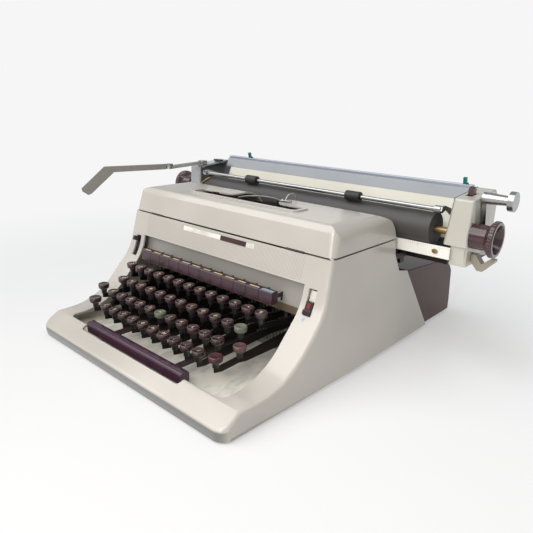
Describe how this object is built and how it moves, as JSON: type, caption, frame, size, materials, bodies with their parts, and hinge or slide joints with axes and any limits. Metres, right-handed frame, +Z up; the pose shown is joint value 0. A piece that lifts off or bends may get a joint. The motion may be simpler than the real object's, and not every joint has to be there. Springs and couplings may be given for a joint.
{
  "type": "manual_typewriter",
  "caption": "Manual office typewriter with a hinged top cover, round dished keys on levers, a type basket and a long sliding carriage with platen, bail and return lever",
  "frame": {"origin": "Centre of the bounding box from left to right and front to back, on the table under the feet", "axes": "X runs along the carriage to the typist's right, Y points away from the typist, Z is up"},
  "size_m": [0.5186, 0.444, 0.2075],
  "materials": {
    "casing_paint": "semi_gloss",
    "maroon_plastic": "gloss",
    "housing_plastic": "gloss",
    "key_plastic": "gloss",
    "accent_plastic": "gloss",
    "pan_paint": "matte",
    "foot_rubber": "matte",
    "frame_steel": "satin",
    "bright_chrome": "polished",
    "dark_steel": "satin",
    "platen_rubber": "matte",
    "shaft_brass": "satin",
    "scale_paint": "semi_gloss",
    "teal_plastic": "gloss",
    "ribbon_cloth": "matte",
    "tan_paint": "satin"
  },
  "bodies": {
    "frame": {"body_shell": "casing_paint", "rear_housing": "housing_plastic", "base_pan": "pan_paint", "feet": "foot_rubber", "side_frames": "frame_steel", "key_back_plate": "casing_paint", "key_comb": "frame_steel", "pivot_shafts": "frame_steel", "key_cross_bar": "tan_paint", "type_segment": "frame_steel", "typebars": "frame_steel", "carriage_rail": "frame_steel", "cover_hinge_pins": "frame_steel", "spool_brackets": "frame_steel", "ribbon": "ribbon_cloth", "bell": "bright_chrome"},
    "cover": {"top_cover": "casing_paint"},
    "left_spool": {"ribbon_spool_left": "dark_steel"},
    "right_spool": {"ribbon_spool_right": "dark_steel"},
    "vibrator": {"ribbon_vibrator": "bright_chrome"},
    "drum": {"mainspring_drum": "frame_steel"},
    "type_bar": {"centre_typebar": "frame_steel"},
    "carriage": {"carriage_frame": "dark_steel", "end_cover_left": "casing_paint", "end_cover_right": "casing_paint", "carriage_cover": "casing_paint", "paper_table": "scale_paint", "margin_rail": "frame_steel", "line_scale": "scale_paint"},
    "feed_roller": {"feed_rollers": "platen_rubber"},
    "platen_roll": {"platen": "platen_rubber", "platen_shaft": "shaft_brass", "platen_knobs": "maroon_plastic"},
    "bail": {"bail_frame": "bright_chrome"},
    "bail_roller": {"bail_rollers": "foot_rubber"},
    "line_lever": {"return_lever": "bright_chrome", "return_handle": "casing_paint"},
    "line_selector": {"line_space_selector": "dark_steel"},
    "left_stop": {"margin_stop_left": "teal_plastic"},
    "right_stop": {"margin_stop_right": "teal_plastic"},
    "paper_release": {"paper_release_lever": "maroon_plastic"},
    "carriage_release": {"carriage_release_lever": "bright_chrome"},
    "carriage_lock": {"carriage_lock_lever": "tan_paint"},
    "ribbon_colour": {"colour_selector": "maroon_plastic"},
    "touch_control": {"touch_lever": "dark_steel"},
    "space": {"space_bar": "maroon_plastic"},
    "shift": {"shift_keys": "key_plastic"},
    "shift_lock": {"shift_lock_key": "key_plastic"},
    "backspace": {"backspace_key": "key_plastic"},
    "margin_release": {"margin_key": "accent_plastic"},
    "tabulator": {"tab_keys": "maroon_plastic"},
    "row_1": {"key_caps_1": "key_plastic", "key_levers_1": "dark_steel"},
    "row_2": {"key_caps_2": "key_plastic", "key_levers_2": "dark_steel"},
    "row_3": {"key_caps_3": "key_plastic", "key_levers_3": "dark_steel"},
    "row_4": {"key_caps_4": "key_plastic", "key_levers_4": "dark_steel"}
  },
  "joints": [
    {"name": "cover_hinge", "type": "hinge", "parent": "frame", "child": "cover", "pos_m": [-0.01967, -0.07281, 0.1385], "axis": [1, 0, 0], "range_deg": [0, 85]},
    {"name": "left_spool_spin", "type": "hinge", "parent": "frame", "child": "left_spool", "pos_m": [-0.14167, -0.017, 0.149], "axis": [0, 0, 1], "continuous": true},
    {"name": "right_spool_spin", "type": "hinge", "parent": "frame", "child": "right_spool", "pos_m": [0.10233, -0.017, 0.149], "axis": [0, 0, 1], "continuous": true},
    {"name": "vibrator_lift", "type": "slide", "parent": "frame", "child": "vibrator", "axis": [0, 0, 1], "range_m": [0, 0.008]},
    {"name": "drum_spin", "type": "hinge", "parent": "frame", "child": "drum", "pos_m": [0.08533, 0.163, 0.05], "axis": [0, 0, 1], "range_deg": [-480, 480]},
    {"name": "type_bar_swing", "type": "hinge", "parent": "frame", "child": "type_bar", "pos_m": [-0.01967, 0.028, 0.084], "axis": [-1, 0, 0], "range_deg": [0, 94]},
    {"name": "carriage_slide", "type": "slide", "parent": "frame", "child": "carriage", "axis": [-1, 0, 0], "range_m": [-0.143, 0.18]},
    {"name": "feed_spin", "type": "hinge", "parent": "carriage", "child": "feed_roller", "pos_m": [-0.00117, 0.071, 0.1291], "axis": [1, 0, 0], "continuous": true},
    {"name": "platen_spin", "type": "hinge", "parent": "carriage", "child": "platen_roll", "pos_m": [-0.00117, 0.068, 0.154], "axis": [1, 0, 0], "continuous": true},
    {"name": "bail_lift", "type": "hinge", "parent": "carriage", "child": "bail", "pos_m": [-0.00117, 0.094, 0.168], "axis": [-1, 0, 0], "range_deg": [0, 40]},
    {"name": "bail_roller_spin", "type": "hinge", "parent": "bail", "child": "bail_roller", "pos_m": [-0.00117, 0.05986, 0.17764], "axis": [1, 0, 0], "continuous": true},
    {"name": "return_lever_swing", "type": "hinge", "parent": "carriage", "child": "line_lever", "pos_m": [-0.21067, 0.07, 0.19], "axis": [0, 0, 1], "range_deg": [0, 30], "stiffness_Nm_per_rad": 0.3},
    {"name": "line_space_turn", "type": "hinge", "parent": "carriage", "child": "line_selector", "pos_m": [-0.21267, 0.101, 0.192], "axis": [0, 0, 1], "range_deg": [-20, 20]},
    {"name": "left_stop_slide", "type": "slide", "parent": "carriage", "child": "left_stop", "axis": [1, 0, 0], "range_m": [-0.035, 0.15]},
    {"name": "right_stop_slide", "type": "slide", "parent": "carriage", "child": "right_stop", "axis": [1, 0, 0], "range_m": [-0.15, 0]},
    {"name": "paper_release_pull", "type": "hinge", "parent": "carriage", "child": "paper_release", "pos_m": [0.21233, 0.084, 0.176], "axis": [1, 0, 0], "range_deg": [0, 12]},
    {"name": "carriage_release_pull", "type": "hinge", "parent": "carriage", "child": "carriage_release", "pos_m": [0.22833, 0.092, 0.16], "axis": [1, 0, 0], "range_deg": [0, 10], "stiffness_Nm_per_rad": 0.5},
    {"name": "carriage_lock_turn", "type": "hinge", "parent": "carriage", "child": "carriage_lock", "pos_m": [0.22833, 0.076, 0.129], "axis": [1, 0, 0], "range_deg": [-15, 15]},
    {"name": "ribbon_colour_slide", "type": "slide", "parent": "frame", "child": "ribbon_colour", "axis": [0, 0.3619, 0.9322], "range_m": [0, 0.0115]},
    {"name": "touch_slide", "type": "slide", "parent": "frame", "child": "touch_control", "axis": [0, -0.3619, -0.9322], "range_m": [0, 0.01]},
    {"name": "space_press", "type": "hinge", "parent": "frame", "child": "space", "pos_m": [-0.01967, -0.022, 0.017], "axis": [1, 0, 0], "range_deg": [0, 2.2], "stiffness_Nm_per_rad": 8, "springref_deg": -3.44},
    {"name": "shift_press", "type": "hinge", "parent": "frame", "child": "shift", "pos_m": [-0.01967, 0.068, 0.038], "axis": [1, 0, 0], "range_deg": [0, 2.6], "stiffness_Nm_per_rad": 8, "springref_deg": -5.73},
    {"name": "shift_lock_press", "type": "hinge", "parent": "frame", "child": "shift_lock", "pos_m": [-0.01967, 0.068, 0.038], "axis": [1, 0, 0], "range_deg": [0, 2.8], "stiffness_Nm_per_rad": 6, "springref_deg": -4.58},
    {"name": "backspace_press", "type": "hinge", "parent": "frame", "child": "backspace", "pos_m": [-0.01967, 0.068, 0.038], "axis": [1, 0, 0], "range_deg": [0, 2.8], "stiffness_Nm_per_rad": 6, "springref_deg": -4.58},
    {"name": "margin_release_press", "type": "hinge", "parent": "frame", "child": "margin_release", "pos_m": [-0.01967, 0.068, 0.038], "axis": [1, 0, 0], "range_deg": [0, 3], "stiffness_Nm_per_rad": 6, "springref_deg": -4.58},
    {"name": "tabulator_press", "type": "hinge", "parent": "frame", "child": "tabulator", "pos_m": [-0.01967, -0.053, 0.086], "axis": [1, 0, 0], "range_deg": [0, 7], "stiffness_Nm_per_rad": 3, "springref_deg": -5.73},
    {"name": "row_1_press", "type": "hinge", "parent": "frame", "child": "row_1", "pos_m": [-0.01967, 0.068, 0.038], "axis": [1, 0, 0], "range_deg": [0, 2.8], "stiffness_Nm_per_rad": 20, "springref_deg": -6.88},
    {"name": "row_2_press", "type": "hinge", "parent": "frame", "child": "row_2", "pos_m": [-0.01967, 0.068, 0.038], "axis": [1, 0, 0], "range_deg": [0, 3], "stiffness_Nm_per_rad": 20, "springref_deg": -6.88},
    {"name": "row_3_press", "type": "hinge", "parent": "frame", "child": "row_3", "pos_m": [-0.01967, 0.068, 0.038], "axis": [1, 0, 0], "range_deg": [0, 3.3], "stiffness_Nm_per_rad": 20, "springref_deg": -6.88},
    {"name": "row_4_press", "type": "hinge", "parent": "frame", "child": "row_4", "pos_m": [-0.01967, 0.068, 0.038], "axis": [1, 0, 0], "range_deg": [0, 3.6], "stiffness_Nm_per_rad": 20, "springref_deg": -6.88}
  ],
  "couplings": [
    {"joint": "feed_spin", "follows": "platen_spin", "ratio": -3.0833},
    {"joint": "drum_spin", "follows": "carriage_slide", "rad_per_m": -45},
    {"joint": "type_bar_swing", "follows": "row_2_press", "ratio": 31.3},
    {"joint": "vibrator_lift", "follows": "row_3_press", "m_per_rad": 0.13}
  ]
}
